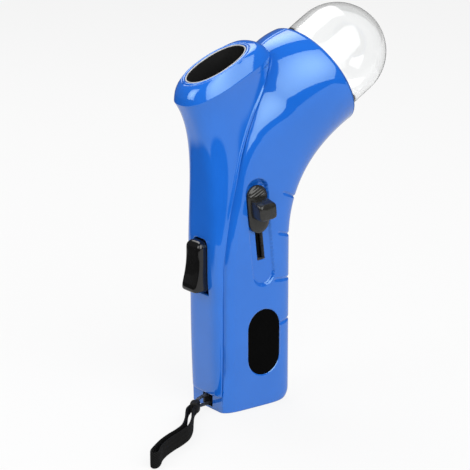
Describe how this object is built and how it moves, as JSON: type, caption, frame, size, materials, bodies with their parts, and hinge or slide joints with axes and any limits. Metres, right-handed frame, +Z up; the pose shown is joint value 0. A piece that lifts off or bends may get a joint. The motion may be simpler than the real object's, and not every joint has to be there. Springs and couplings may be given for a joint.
{
  "type": "pet treat launcher",
  "caption": "Hand-held spring launcher for pet treats: blue pistol-shaped body with a slanted oval muzzle, clear treat dome, front trigger, side cocking slider and wrist strap.",
  "frame": {"origin": "centre of the handle's flat base, on the floor", "axes": "+Z up, -Y to the front where the trigger and the muzzle are, +Y to the dome, +X to the side with the slider"},
  "size_m": [0.0815, 0.175, 0.1987],
  "materials": {
    "body_blue": "glossy moulded blue",
    "black_matte": "matte black",
    "black_gloss": "satin black",
    "inner_dark": "plain dark",
    "piston_grey": "plain dark grey",
    "steel": "plain steel",
    "clear": "clear moulded plastic",
    "seal_rubber": "soft pale ring",
    "strap_black": "woven black"
  },
  "bodies": {
    "housing": {"right_shell": "body_blue", "left_shell": "body_blue", "front_cover": "body_blue", "muzzle_liner": "black_matte", "launch_tube": "inner_dark", "launch_spring": "steel", "spring_plug": "inner_dark", "trigger_pin": "steel", "trigger_spring": "steel", "hopper_funnel": "black_matte", "badge_plate": "black_gloss", "strap_pin": "steel", "strap_cord": "strap_black", "strap_clamp": "black_matte", "wrist_strap": "strap_black", "shell_screws": "steel"},
    "plunger": {"piston": "piston_grey", "cocking_pin": "steel", "slider_knob": "black_gloss"},
    "trigger": {"trigger": "black_gloss"},
    "dome": {"dome": "clear", "dome_seal": "seal_rubber"}
  },
  "joints": [
    {"name": "plunger_slide", "type": "slide", "parent": "housing", "child": "plunger", "axis": [0, 0.1132, -0.9936], "range_m": [0, 0.024], "stiffness_N_per_m": 500, "springref_m": -0.004, "deforming": ["launch_spring"]},
    {"name": "trigger_pull", "type": "hinge", "parent": "housing", "child": "trigger", "pos_m": [0, -0.015, 0.07989], "axis": [1, 0, 0], "range_deg": [-4, 10], "stiffness_Nm_per_rad": 0.1},
    {"name": "dome_pull", "type": "slide", "parent": "housing", "child": "dome", "axis": [0, 0.8526, 0.5225], "range_m": [0, 0.03]}
  ]
}
